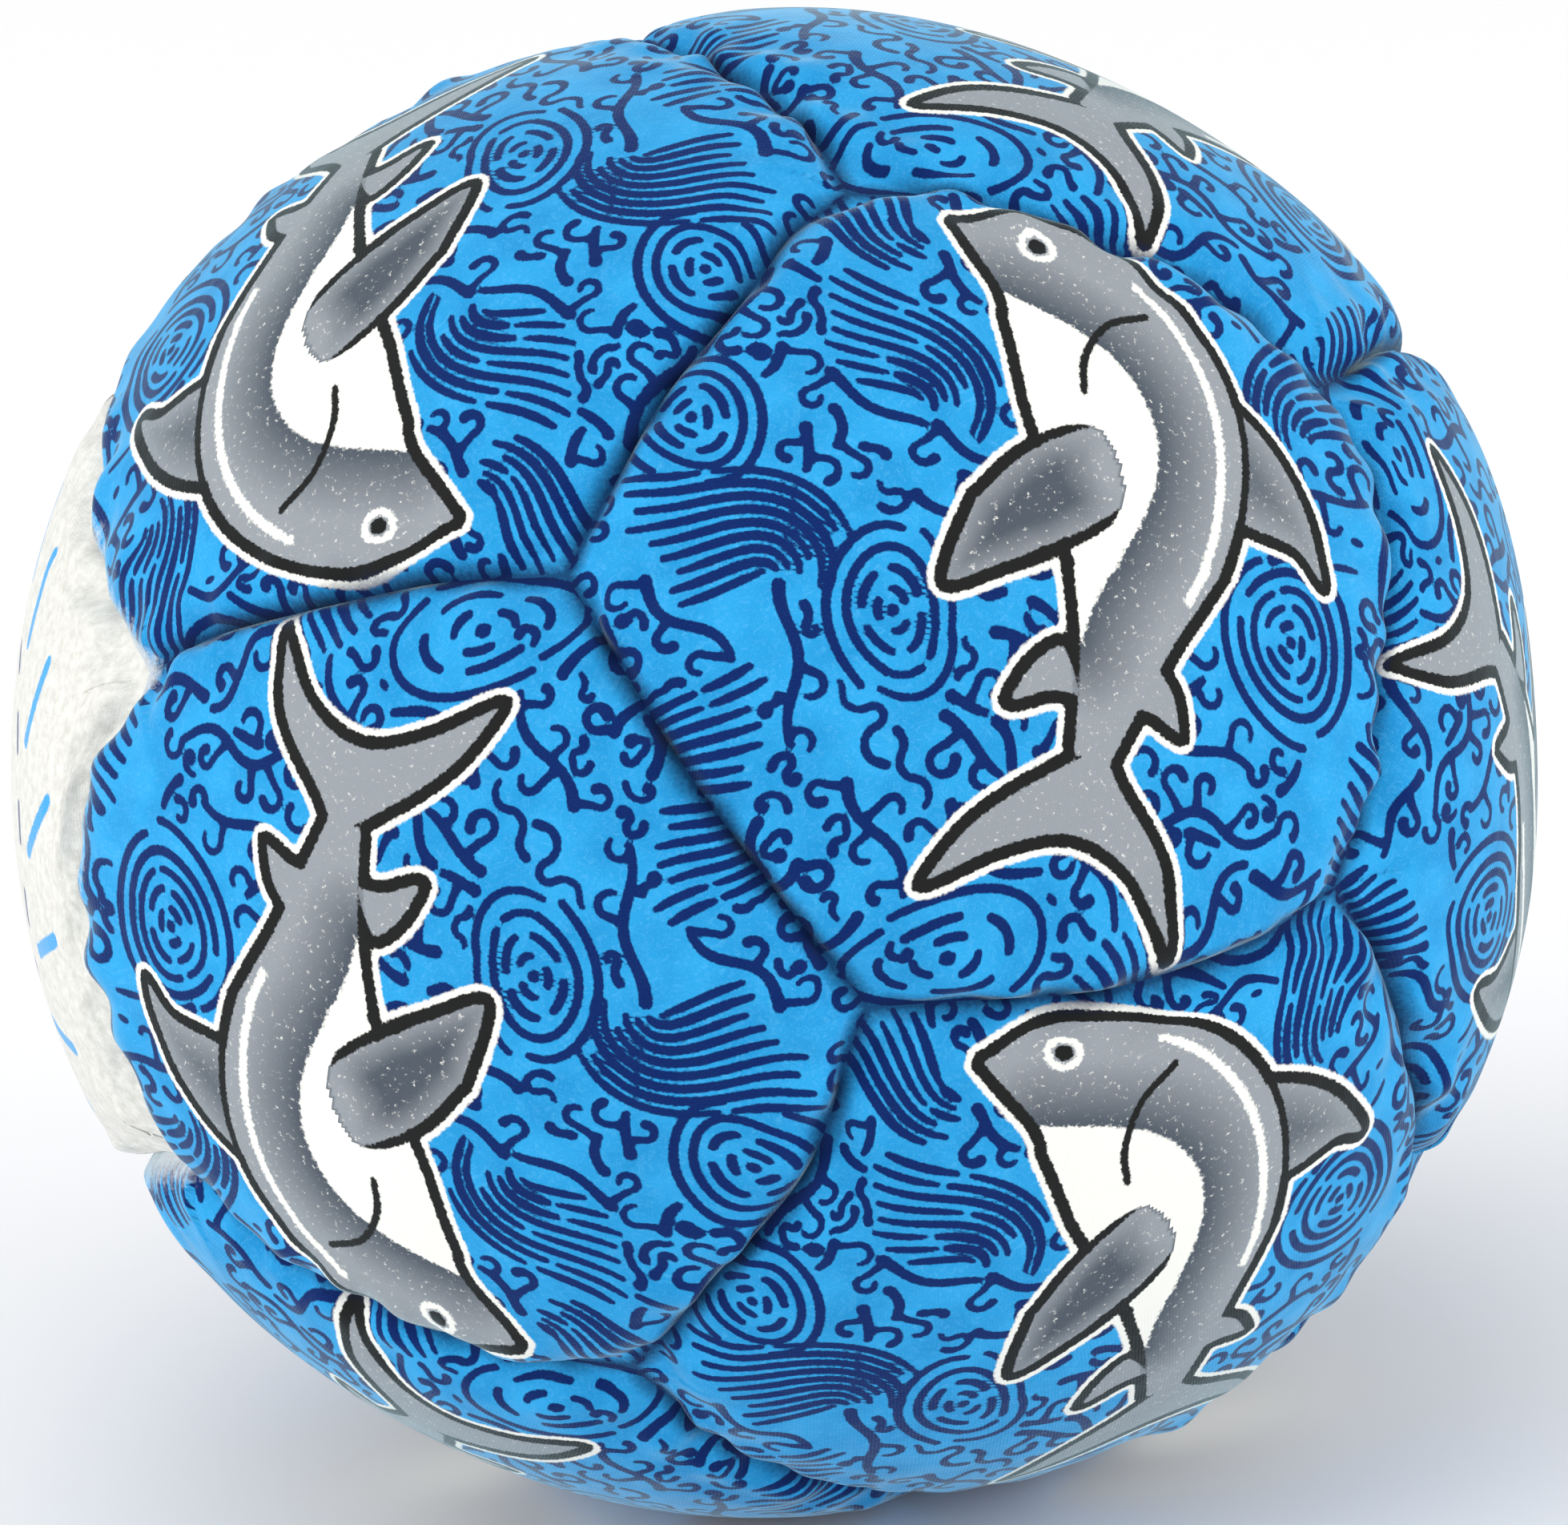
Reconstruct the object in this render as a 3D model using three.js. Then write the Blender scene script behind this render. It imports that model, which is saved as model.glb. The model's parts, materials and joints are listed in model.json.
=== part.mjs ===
// A soft juggling ball: twelve five-sided fabric panels sewn edge to edge over a sand-filled liner.
//
// Millimetres, +Z up. The ball rests on the plane z = 0 and its centre is above the origin.
// The white panel faces -X, and the middle of one seam points straight down.

import * as THREE from 'three';

// ---- Driving dimensions --------------------------------------------------------------------

const BALL_DIAMETER = 64;
const SAG = 0.985;                    // the height of the filled ball over its width
const FLAT_HEIGHT = 1;                // how far the underside is pressed flat where it rests

const FABRIC_THICKNESS = 1.2;         // brushed knit with its fused backing
const SEAM_GAP = 0.3;                 // between the edges of two neighbouring panels
const SHOULDER_WIDTH = 2.6;           // where a panel starts to roll over into its seam
const SHOULDER_DROP = 1.1;            // how deep the roll goes before the two panels meet
const PRESSED_LENGTH = 0.25;          // the stretch where the two panels press together
const TURNED_EDGE_DEPTH = 2.3;        // how deep the seam allowance reaches below the surface
const TURNED_EDGE_WIDTH = 1;

const THREAD_DIAMETER = 0.5;
const THREAD_CHANNEL = 1.24;          // the width between the seam allowances, for the thread
const THREAD_DEPTH = 1.95;            // the middle of the thread below the ball's surface
const THREAD_END_SPACE = 1.1;         // from the end of a thread to the point where seams meet

const CLEARANCE = 0.3;                // between one layer of the filling and the next
const LINER_THICKNESS = 0.4;
const LINER_SEAM_THREAD = 0.5;
const SAND_SLACK = 0.8;                // the sand moves freely, so it doesn't fill the liner

const STEPS_ALONG_EDGE = 5;           // facets along each edge of a panel
const STEPS_OVER_SHOULDER = 3;
const STEPS_AROUND_LINER = 20;
const STEPS_POLE_TO_EQUATOR = 6;
const STEPS_ALONG_THREAD = 5;
const THREAD_SIDES = 6;

// ---- Values that follow from them ------------------------------------------------------------

const RADIUS = BALL_DIAMETER / 2;
const REST_DEPTH = RADIUS * SAG - FLAT_HEIGHT;             // from the centre to the resting plane
const EDGES = 5;
const SECTOR = (2 * Math.PI) / EDGES;
const NEIGHBOUR_COSINE = 1 / Math.sqrt(EDGES);             // between the axes of two neighbours
const SEAM_TILT = Math.acos(NEIGHBOUR_COSINE) / 2;         // from a panel's axis to its seam planes
const CORNER_TILT = Math.atan(Math.tan(SEAM_TILT) / Math.cos(SECTOR / 2));
const FACET_DISTANCE = RADIUS * Math.cos(CORNER_TILT);     // of the flat pentagon under a panel
const FACET_INRADIUS = FACET_DISTANCE * Math.tan(SEAM_TILT);
const LINER_RADIUS = RADIUS - TURNED_EDGE_DEPTH - CLEARANCE;
const SAND_RADIUS = LINER_RADIUS - LINER_THICKNESS - SAND_SLACK;

// ---- Materials -------------------------------------------------------------------------------

function material(color, roughness) {
  return new THREE.MeshStandardMaterial({ color, roughness, metalness: 0 });
}

const blueFabric = () => material(0x3aaaf0, 0.85);
const whiteFabric = () => material(0xf4f3ee, 0.95);
const blueThread = () => material(0x2276b8, 0.6);
const whiteThread = () => material(0xe8e8e4, 0.6);
const linerFabric = () => material(0xe6e3d8, 0.7);
const sand = () => material(0xcbb389, 0.95);

// ---- Where the panels are --------------------------------------------------------------------

// Ten panels lie in two rings of five around the X axis, between the white end and the blue end.
// Each is named by the place of its axis, which turns by half a sector from one to the next.
const RING_PANELS = [
  'panel_right_back',
  'panel_left_back_high',
  'panel_right_top',
  'panel_left_top',
  'panel_right_front_high',
  'panel_left_front',
  'panel_right_front_low',
  'panel_left_bottom',
  'panel_right_bottom',
  'panel_left_back_low',
];

function ringAxis(index) {
  const side = index % 2 ? -1 : 1;
  const turn = (index * SECTOR) / 2;
  const across = side * NEIGHBOUR_COSINE;
  const outward = Math.sqrt(1 - NEIGHBOUR_COSINE ** 2);
  return new THREE.Vector3(across, outward * Math.cos(turn), outward * Math.sin(turn));
}

const panels = [
  { name: 'panel_end_white', axis: new THREE.Vector3(-1, 0, 0) },
  ...RING_PANELS.map((name, index) => ({ name, axis: ringAxis(index) })),
  { name: 'panel_end_blue', axis: new THREE.Vector3(1, 0, 0) },
];

function areNeighbours(one, other) {
  return one !== other && one.axis.dot(other.axis) > NEIGHBOUR_COSINE / 2;
}

// The two directions, from the centre, where the seam between two neighbours starts and ends.
function seamEnds(one, other) {
  return panels
    .filter((third) => areNeighbours(third, one) && areNeighbours(third, other))
    .map((third) => one.axis.clone().add(other.axis).add(third.axis).normalize());
}

// ---- How the filled ball settles -------------------------------------------------------------

// Moves a point of the round ball to its place in the resting one. Depth is measured inwards
// from the surface, so layers that lie inside each other stay apart over the flat underside.
function settle(point, depth) {
  point.z = Math.max(point.z * SAG, -REST_DEPTH + depth);
  return point;
}

// ---- A fabric panel --------------------------------------------------------------------------

// The section through a panel from its middle to the middle of an edge, outer face first.
// Each point is a distance from the seam plane and a depth below the ball's surface.
function panelSection() {
  const pressed = SEAM_GAP / 2;
  const channel = THREAD_CHANNEL / 2;
  const turnedIn = channel + TURNED_EDGE_WIDTH;
  const meetDepth = SHOULDER_DROP + PRESSED_LENGTH;
  const middle = FACET_INRADIUS * Math.cos(SEAM_TILT);
  const rollWidth = SHOULDER_WIDTH - pressed;
  const roll = new THREE.EllipseCurve(
    SHOULDER_WIDTH, SHOULDER_DROP, rollWidth, SHOULDER_DROP, -Math.PI / 2, -Math.PI, true,
  );
  return [
    [middle, 0],
    [middle * 0.65, 0],
    [middle * 0.35, 0],
    ...roll.getPoints(STEPS_OVER_SHOULDER).map((point) => [point.x, point.y]),
    [pressed, meetDepth],
    [channel, meetDepth + channel - pressed],
    [channel, TURNED_EDGE_DEPTH],
    [turnedIn, TURNED_EDGE_DEPTH],
    [turnedIn + TURNED_EDGE_WIDTH / 2, FABRIC_THICKNESS],
    [middle * 0.5, FABRIC_THICKNESS],
    [middle, FABRIC_THICKNESS],
  ];
}

// Turns the section about the panel's axis, opens each ring out to a pentagon and wraps it
// onto the ball.
function panelGeometry(axis, firstCorner) {
  const section = panelSection().map(
    ([distance, depth]) => new THREE.Vector2(FACET_INRADIUS - distance / Math.cos(SEAM_TILT), depth),
  );
  const geometry = new THREE.LatheGeometry(section, EDGES * STEPS_ALONG_EDGE);
  const toCorner = firstCorner.clone().projectOnPlane(axis).normalize();
  const sideways = new THREE.Vector3().crossVectors(axis, toCorner);
  const vertices = geometry.attributes.position;
  const turned = new THREE.Vector3();
  for (let index = 0; index < vertices.count; index += 1) {
    turned.fromBufferAttribute(vertices, index);
    const depth = turned.y;
    const angle = Math.atan2(turned.z, turned.x) - Math.PI / 2;
    const fromEdgeMiddle = ((angle + 4 * Math.PI) % SECTOR) - SECTOR / 2;
    const reach = Math.hypot(turned.x, turned.z) / Math.cos(fromEdgeMiddle);
    const point = axis.clone().multiplyScalar(FACET_DISTANCE);
    point.addScaledVector(toCorner, reach * Math.cos(angle));
    point.addScaledVector(sideways, reach * Math.sin(angle));
    point.setLength(RADIUS - depth);
    settle(point, depth);
    vertices.setXYZ(index, point.x, point.y, point.z);
  }
  geometry.computeVertexNormals();
  return geometry;
}

function fabricPanel(panel) {
  const neighbour = panels.find((other) => areNeighbours(panel, other));
  const [firstCorner] = seamEnds(panel, neighbour);
  const fabric = panel.name === 'panel_end_white' ? whiteFabric() : blueFabric();
  const mesh = new THREE.Mesh(panelGeometry(panel.axis, firstCorner), fabric);
  mesh.name = panel.name;
  return mesh;
}

// ---- The sewing thread of one seam -----------------------------------------------------------

// A round thread that runs below the surface from just after one meeting point of three seams
// to just before the next.
function seamThread(name, start, end, thread) {
  const radius = RADIUS - THREAD_DEPTH;
  const whole = start.angleTo(end);
  const spare = THREAD_END_SPACE / radius;
  const normal = new THREE.Vector3().crossVectors(start, end).normalize();
  const route = [];
  for (let step = 0; step <= STEPS_ALONG_THREAD; step += 1) {
    const angle = spare + ((whole - 2 * spare) * step) / STEPS_ALONG_THREAD;
    const point = start.clone().applyAxisAngle(normal, angle).multiplyScalar(radius);
    route.push(settle(point, THREAD_DEPTH));
  }
  const round = new THREE.EllipseCurve(0, 0, THREAD_DIAMETER / 2, THREAD_DIAMETER / 2);
  const section = new THREE.Shape(round.getPoints(THREAD_SIDES).slice(1));
  const geometry = new THREE.ExtrudeGeometry(section, {
    steps: STEPS_ALONG_THREAD,
    extrudePath: new THREE.CatmullRomCurve3(route),
  });
  const mesh = new THREE.Mesh(geometry, thread);
  mesh.name = name;
  return mesh;
}

// The panels are sewn inside out by machine. The last seam is closed by hand, after filling.
const CLOSING_SEAM = ['panel_right_back', 'panel_end_blue'];

function isClosingSeam(one, other) {
  return CLOSING_SEAM.includes(one.name) && CLOSING_SEAM.includes(other.name);
}

function seamThreads() {
  const threads = [];
  let machineSeams = 0;
  panels.forEach((one, index) => {
    const laterNeighbours = panels.slice(index + 1).filter((other) => areNeighbours(one, other));
    laterNeighbours.forEach((other) => {
      const [start, end] = seamEnds(one, other);
      const besideWhite = one.name === 'panel_end_white';
      let name = 'closing_thread';
      if (!isClosingSeam(one, other)) {
        machineSeams += 1;
        name = `seam_thread_${String(machineSeams).padStart(2, '0')}`;
      }
      threads.push(seamThread(name, start, end, besideWhite ? whiteThread() : blueThread()));
    });
  });
  return threads;
}

// ---- The filling -----------------------------------------------------------------------------

// Points of a round arc about the centre, from one tilt off the axis to another.
function arc(radius, fromTilt, toTilt, steps) {
  const points = [];
  for (let step = 0; step <= steps; step += 1) {
    const tilt = fromTilt + ((toTilt - fromTilt) * step) / steps;
    points.push(new THREE.Vector2(Math.abs(radius * Math.sin(tilt)), radius * Math.cos(tilt)));
  }
  return points;
}

// A body turned about the ball's X axis and settled with the rest of the ball. Side 1 puts the
// start of the section on +X, and side -1 on -X.
function turnedAboutX(section, side, name, look) {
  const geometry = new THREE.LatheGeometry(section, STEPS_AROUND_LINER);
  geometry.rotateZ((-side * Math.PI) / 2);
  return settledMesh(geometry, name, look);
}

function settledMesh(geometry, name, look) {
  const vertices = geometry.attributes.position;
  const point = new THREE.Vector3();
  for (let index = 0; index < vertices.count; index += 1) {
    point.fromBufferAttribute(vertices, index);
    settle(point, RADIUS - point.length());
    vertices.setXYZ(index, point.x, point.y, point.z);
  }
  geometry.computeVertexNormals();
  const mesh = new THREE.Mesh(geometry, look);
  mesh.name = name;
  return mesh;
}

// Half of the liner bag: a thin cup whose rim stops short of the middle plane, where the seam
// thread of the liner runs.
function linerHalf(name, side) {
  const rimSpace = LINER_SEAM_THREAD / 2 + CLEARANCE;
  const innerRadius = LINER_RADIUS - LINER_THICKNESS;
  const outerRim = Math.acos(rimSpace / LINER_RADIUS);
  const innerRim = Math.acos(rimSpace / innerRadius);
  const section = [
    ...arc(innerRadius, 0, innerRim, STEPS_POLE_TO_EQUATOR),
    ...arc(LINER_RADIUS, outerRim, 0, STEPS_POLE_TO_EQUATOR),
  ];
  return turnedAboutX(section, side, name, linerFabric());
}

function linerSeamThread() {
  const middle = LINER_RADIUS - LINER_THICKNESS / 2;
  const ring = new THREE.TorusGeometry(middle, LINER_SEAM_THREAD / 2, THREAD_SIDES, STEPS_AROUND_LINER);
  ring.rotateY(Math.PI / 2);
  return settledMesh(ring, 'liner_seam_thread', whiteThread());
}

function sandFill() {
  const section = arc(SAND_RADIUS, Math.PI, 0, 2 * STEPS_POLE_TO_EQUATOR);
  return turnedAboutX(section, 1, 'sand_fill', sand());
}

// ---- The ball --------------------------------------------------------------------------------

function cover() {
  const group = new THREE.Group();
  panels.forEach((panel) => group.add(fabricPanel(panel)));
  seamThreads().forEach((thread) => group.add(thread));
  return group;
}

function filling() {
  const group = new THREE.Group();
  group.add(linerHalf('liner_half_left', -1));
  group.add(linerHalf('liner_half_right', 1));
  group.add(linerSeamThread());
  group.add(sandFill());
  return group;
}

const ball = new THREE.Group();
ball.add(cover());
ball.add(filling());
ball.position.z = REST_DEPTH;

export default ball;
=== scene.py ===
import json
import math

import bpy
import numpy as np
from mathutils import Matrix, Vector
from mathutils.kdtree import KDTree


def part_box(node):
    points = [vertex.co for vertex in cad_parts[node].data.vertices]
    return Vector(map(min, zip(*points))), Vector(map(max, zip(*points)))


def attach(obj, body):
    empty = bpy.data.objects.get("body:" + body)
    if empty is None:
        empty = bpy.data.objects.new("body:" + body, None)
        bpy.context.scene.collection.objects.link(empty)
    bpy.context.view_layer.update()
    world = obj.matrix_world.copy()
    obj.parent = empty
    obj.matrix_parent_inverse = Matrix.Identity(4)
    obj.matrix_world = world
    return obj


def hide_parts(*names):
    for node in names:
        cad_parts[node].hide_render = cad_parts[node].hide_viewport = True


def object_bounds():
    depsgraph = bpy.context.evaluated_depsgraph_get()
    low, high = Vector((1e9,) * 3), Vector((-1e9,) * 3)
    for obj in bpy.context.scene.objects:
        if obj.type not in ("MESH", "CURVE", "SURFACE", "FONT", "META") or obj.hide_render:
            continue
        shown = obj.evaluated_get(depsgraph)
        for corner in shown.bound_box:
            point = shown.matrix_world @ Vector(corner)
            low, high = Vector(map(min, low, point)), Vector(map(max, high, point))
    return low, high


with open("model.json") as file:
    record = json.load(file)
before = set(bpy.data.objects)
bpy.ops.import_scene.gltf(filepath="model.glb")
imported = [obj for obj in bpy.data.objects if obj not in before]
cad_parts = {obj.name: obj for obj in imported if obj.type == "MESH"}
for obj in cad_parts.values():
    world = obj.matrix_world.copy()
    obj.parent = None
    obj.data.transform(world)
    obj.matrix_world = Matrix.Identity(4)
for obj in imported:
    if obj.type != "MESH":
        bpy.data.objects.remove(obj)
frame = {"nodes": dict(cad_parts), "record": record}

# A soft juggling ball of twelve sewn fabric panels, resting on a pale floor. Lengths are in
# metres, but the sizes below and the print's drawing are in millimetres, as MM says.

MM = 0.001

# ---- The frame's sizes ----

CAD_LOW, CAD_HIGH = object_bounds()
RADIUS = (CAD_HIGH.x - CAD_LOW.x) / 2
END_LOW, END_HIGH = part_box("panel_end_white")
CENTRE_HEIGHT = (END_LOW.z + END_HIGH.z) / 2

# ---- Sizes of the cover, in millimetres ----

SAG = 0.985                  # the ball's height over its width, before its underside goes flat
SHOULDER_WIDTH = 2.0         # where a panel starts to roll over into its seam
SHOULDER_DROP = 1.35         # how deep the roll would go if its side became upright
SHOULDER_END = 0.96          # how much of that quarter round the seam lets it reach
TURNED_IN = [(0.10, 0.5), (0.22, 1.1)]    # the seam allowance: (away from the seam, further in)
PUCKER = 0.18                # height of the small gathers along the seams
PUCKER_REACH = 3.0
DIMPLE = 0.6                 # extra depth where three seams meet
DIMPLE_REACH = 2.6
ROLL_OVER = 0.55             # how far the fuller of two rims leans over its neighbour
ROLL_REACH = 2.4
ROLL_UNEVEN = 0.3            # how much that lean varies along a seam
CORNER_REACH = 3.0           # how far from where three seams meet they stay straight
WANDER = 0.35                # how far the seams stray from straight lines
PILLOW = 0.15                # how much fuller the middle of a panel is
PILLOW_REACH = 6.0
SWELL = 0.25                 # how far the fuller of two rims stands up, and how far back
SWELL_REACH = 2.5

DEEPEST = 1.58               # how deep a seam may lie, so that it covers its thread
DEEPEST_SOFTNESS = 0.08

CLOTH_STEPS = 12             # squares along half an edge of a panel in the cloth simulation
FINER = 3                    # times that the simulated cloth is subdivided
SIM_FRAMES = 20
SIM_CAP = 2.0                # how far the simulation may move a point
GATHERED_WIDTH = 1.2         # how far from a seam its thread gathers the cloth
SURFACE_PERCENTILE = 80      # which of the simulated points' heights counts as the ball's radius
INNER_RINGS = (0.93, 0.78, 0.5, 0.22)     # of the unseen inner face, as shares of the panel
INNER_DEPTH = 1.7            # of that face, below the ball's surface

EDGES = 5
SECTOR = 2 * math.pi / EDGES
NEIGHBOUR_COSINE = 1 / math.sqrt(EDGES)
SEAM_TILT = math.acos(NEIGHBOUR_COSINE) / 2
CORNER_TILT = math.atan(math.tan(SEAM_TILT) / math.cos(SECTOR / 2))


def unit(v):
    return v / np.linalg.norm(v)


# ---- Where the panels are ----

WHITE_END = "panel_end_white"
BLUE_END = "panel_end_blue"
FULLNESS = {        # how full each panel stands: the ten round the ring in order, then the ends
    "panel_right_back": 0.4,
    "panel_left_back_high": 0.1,
    "panel_right_top": 0.2,
    "panel_left_top": 0.7,
    "panel_right_front_high": 1.0,
    "panel_left_front": 0.5,
    "panel_right_front_low": -0.1,
    "panel_left_bottom": -0.2,
    "panel_right_bottom": -0.6,
    "panel_left_back_low": -0.4,
    BLUE_END: -0.3,
    WHITE_END: -1.6,
}
NAMES = list(FULLNESS)
RING_NAMES = NAMES[:-2]


def ring_axis(index):
    """The direction of a ring panel's middle. The ring zigzags to either side of x = 0."""
    side = -1 if index % 2 else 1
    turn = index * SECTOR / 2
    outward = math.sqrt(1 - NEIGHBOUR_COSINE**2)
    return np.array([side * NEIGHBOUR_COSINE, outward * math.cos(turn), outward * math.sin(turn)])


def turned(v, axis, angle):
    """v turned about a unit axis."""
    along = axis * (v @ axis)
    return along + (v - along) * math.cos(angle) + np.cross(axis, v) * math.sin(angle)


def panel_frames():
    """{name: (axis, towards the corner that the print is placed from, across)} for each panel."""
    frames = {}
    for index, name in enumerate(RING_NAMES):
        axis = ring_axis(index)
        corner = axis + ring_axis(index - 1) + ring_axis(index - 2)
        if index % 2:
            corner = turned(corner, axis, -2 * SECTOR)
        frames[name] = (axis, corner)
    for name, side, first, second in ((BLUE_END, 1.0, 0, 8), (WHITE_END, -1.0, 3, 5)):
        axis = np.array([side, 0, 0])
        frames[name] = (axis, axis + ring_axis(first) + ring_axis(second))
    made = {}
    for name, (axis, corner) in frames.items():
        towards = unit(corner - axis * (corner @ axis))
        made[name] = (axis, towards, np.cross(axis, towards))
    return made


FRAMES = panel_frames()
AXES = np.array([FRAMES[name][0] for name in NAMES])


# ---- One panel's grid, on the plane that touches the ball at the panel's middle ----

def kite_grid(steps):
    """A pentagon as five kites of steps by steps squares: its points, for a ball of radius 1, and
    its squares, anticlockwise from outside. Points that two kites share appear once."""
    index, points, squares = {}, [], []
    share = np.linspace(0, 1, steps + 1)
    for kite in range(EDGES):
        corner = math.tan(CORNER_TILT) * np.array([math.cos(kite * SECTOR), math.sin(kite * SECTOR)])
        middles = []
        for side in (-0.5, 0.5):
            angle = (kite + side) * SECTOR
            middles.append(math.tan(SEAM_TILT) * np.array([math.cos(angle), math.sin(angle)]))
        row = np.zeros((steps + 1, steps + 1), int)
        for i, u in enumerate(share):
            for j, v in enumerate(share):
                at = u * (1 - v) * middles[0] + u * v * corner + (1 - u) * v * middles[1]
                key = (round(at[0], 6), round(at[1], 6))
                if key not in index:
                    index[key] = len(points)
                    points.append(at)
                row[i, j] = index[key]
        for i in range(steps):
            for j in range(steps):
                squares.append((row[i, j], row[i + 1, j], row[i + 1, j + 1], row[i, j + 1]))
    return np.array(points), np.array(squares)


def directions(flat, name):
    """Directions from the ball's centre of points on a panel's plane."""
    axis, towards, across = FRAMES[name]
    out = axis + flat[:, :1] * towards + flat[:, 1:] * across
    return out / np.linalg.norm(out, axis=1)[:, None]


def arc(angle):
    """An angle at the ball's centre as millimetres along the ball."""
    return angle * RADIUS / MM


def seam_arc(nearer):
    """How far a seam is, for directions whose cosine to one panel's middle is nearer by this."""
    return arc(np.arcsin(np.clip(nearer / (2 * math.sin(SEAM_TILT)), 0, 1)))


def seam_distances(out):
    """For directions from the centre: the index of the nearest panel and of the next one, and how
    far the seam between them is, in millimetres along the ball."""
    near = out @ AXES.T
    order = np.argsort(-near, axis=1)
    first, second = order[:, 0], order[:, 1]
    rows = np.arange(len(out))
    return first, second, seam_arc(near[rows, first] - near[rows, second])


# ---- Cloth simulation of the whole cover ----

def mesh_object(name, points, faces):
    mesh = bpy.data.meshes.new(name)
    mesh.from_pydata([tuple(p) for p in points], [], [tuple(map(int, f)) for f in faces])
    mesh.update()
    piece = bpy.data.objects.new(name, mesh)
    bpy.context.scene.collection.objects.link(piece)
    return piece


def drop_object(piece):
    mesh = piece.data
    bpy.data.objects.remove(piece)
    bpy.data.meshes.remove(mesh)


def fetched(items, key, width, kind=np.float32):
    """A property of every item of a Blender collection, as rows of width numbers."""
    values = np.zeros(len(items) * width, kind)
    items.foreach_get(key, values)
    return values.reshape(-1, width)


def positions(mesh):
    return fetched(mesh.vertices, "co", 3).astype(float)


def evaluated(piece):
    return piece.evaluated_get(bpy.context.evaluated_depsgraph_get()).data


def welded(points, faces):
    """The same faces with points that lie together made one, and where each point went."""
    index, kept, place = {}, [], np.zeros(len(points), int)
    for i, p in enumerate(points):
        key = tuple(np.round(p, 5))
        if key not in index:
            index[key] = len(kept)
            kept.append(p)
        place[i] = index[key]
    return np.array(kept), place[faces], place


def inflate(points, faces, seam_weight):
    """Blender's cloth: the cover, one metre in radius, is filled by pressure while its seams
    gather, which swells the panels and puckers them along the seams."""
    cover = mesh_object("cover_cloth", points, faces)
    group = cover.vertex_groups.new(name="seams")
    for i, weight in enumerate(seam_weight):
        group.add([i], float(weight), "REPLACE")
    cloth = cover.modifiers.new("cloth", "CLOTH")
    how = cloth.settings
    how.quality = 6
    how.mass = 0.3
    how.tension_stiffness = 40
    how.compression_stiffness = 40
    how.shear_stiffness = 20
    how.bending_stiffness = 2.0
    how.use_pressure = True
    how.uniform_pressure_force = 12.0
    how.vertex_group_shrink = "seams"
    how.shrink_min = -0.01
    how.shrink_max = 0.05
    how.effector_weights.gravity = 0
    cloth.collision_settings.use_collision = False
    cloth.point_cache.frame_start = 1
    cloth.point_cache.frame_end = SIM_FRAMES
    scene = bpy.context.scene
    for step in range(1, SIM_FRAMES + 1):
        scene.frame_set(step)
    made = positions(evaluated(cover))
    scene.frame_set(1)
    drop_object(cover)
    return made


def cover_points(flat, squares):
    """{panel: its grid's points, in metres about the ball's centre} after the simulation."""
    faces, points = [], []
    for k, name in enumerate(NAMES):
        faces.append(squares + k * len(flat))
        points.append(directions(flat, name))
    points, faces = np.concatenate(points), np.concatenate(faces)
    kept, welded_faces, place = welded(points, faces)
    moved = kept
    _, _, from_seam = seam_distances(kept)
    weight = np.clip(1 - from_seam / GATHERED_WIDTH, 0, 1)
    moved = inflate(kept, welded_faces, weight)
    moved = moved / np.percentile(np.linalg.norm(moved, axis=1), SURFACE_PERCENTILE)
    step = moved - kept
    far = np.linalg.norm(step, axis=1)[:, None]
    cap = SIM_CAP * MM / RADIUS
    moved = kept + step * np.minimum(1, cap / np.maximum(far, 1e-9))
    whole = moved[place] * RADIUS
    return {name: whole[k * len(flat) : (k + 1) * len(flat)] for k, name in enumerate(NAMES)}


# ---- The fine panel ----

def subdivided(name, points, squares, flat):
    """The panel's simulated grid as a smooth fine one: points, faces and flat places."""
    piece = mesh_object(name + "_grid", points, squares)
    place = piece.data.attributes.new("flat", "FLOAT_VECTOR", "POINT")
    place.data.foreach_set("vector", np.c_[flat, np.zeros(len(flat))].astype(np.float32).ravel())
    smooth = piece.modifiers.new("smooth", "SUBSURF")
    smooth.levels = smooth.render_levels = FINER
    smooth.boundary_smooth = "PRESERVE_CORNERS"
    ready = evaluated(piece)
    fine = positions(ready)
    corners = fetched(ready.loops, "vertex_index", 1, np.int32)
    places = fetched(ready.attributes["flat"].data, "vector", 3)
    drop_object(piece)
    return fine, corners.reshape(-1, 4), places[:, :2].astype(float)


def vertex_normals(points, faces):
    a, b, c, d = (points[faces[:, k]] for k in range(4))
    of_face = np.cross(c - a, d - b)
    normals = np.zeros_like(points)
    for k in range(4):
        for axis in range(3):
            normals[:, axis] += np.bincount(faces[:, k], of_face[:, axis], len(points))
    return normals / np.linalg.norm(normals, axis=1)[:, None]


def rim_loop(faces):
    """The points round the edge of a grid, in order, anticlockwise from outside."""
    starts = faces.ravel()
    ends = np.roll(faces, -1, axis=1).ravel()
    forward = set(zip(starts.tolist(), ends.tolist()))
    following = {a: b for a, b in forward if (b, a) not in forward}
    first = min(following)
    loop = [first]
    while following[loop[-1]] != first:
        loop.append(following[loop[-1]])
    return np.array(loop)


def wobble(at, seed, waves=6, lowest=0.5, highest=1.6):
    """Smooth noise of about -1 to 1 at places in space given in millimetres: a few sine waves of
    seeded directions, with between lowest and highest radians a millimetre."""
    rng = np.random.default_rng(seed)
    total = np.zeros(len(at))
    for _ in range(waves):
        heading = unit(rng.normal(size=3)) * rng.uniform(lowest, highest)
        total += np.sin(at @ heading + rng.uniform(0, 2 * math.pi))
    return total / math.sqrt(waves / 2)


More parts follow.
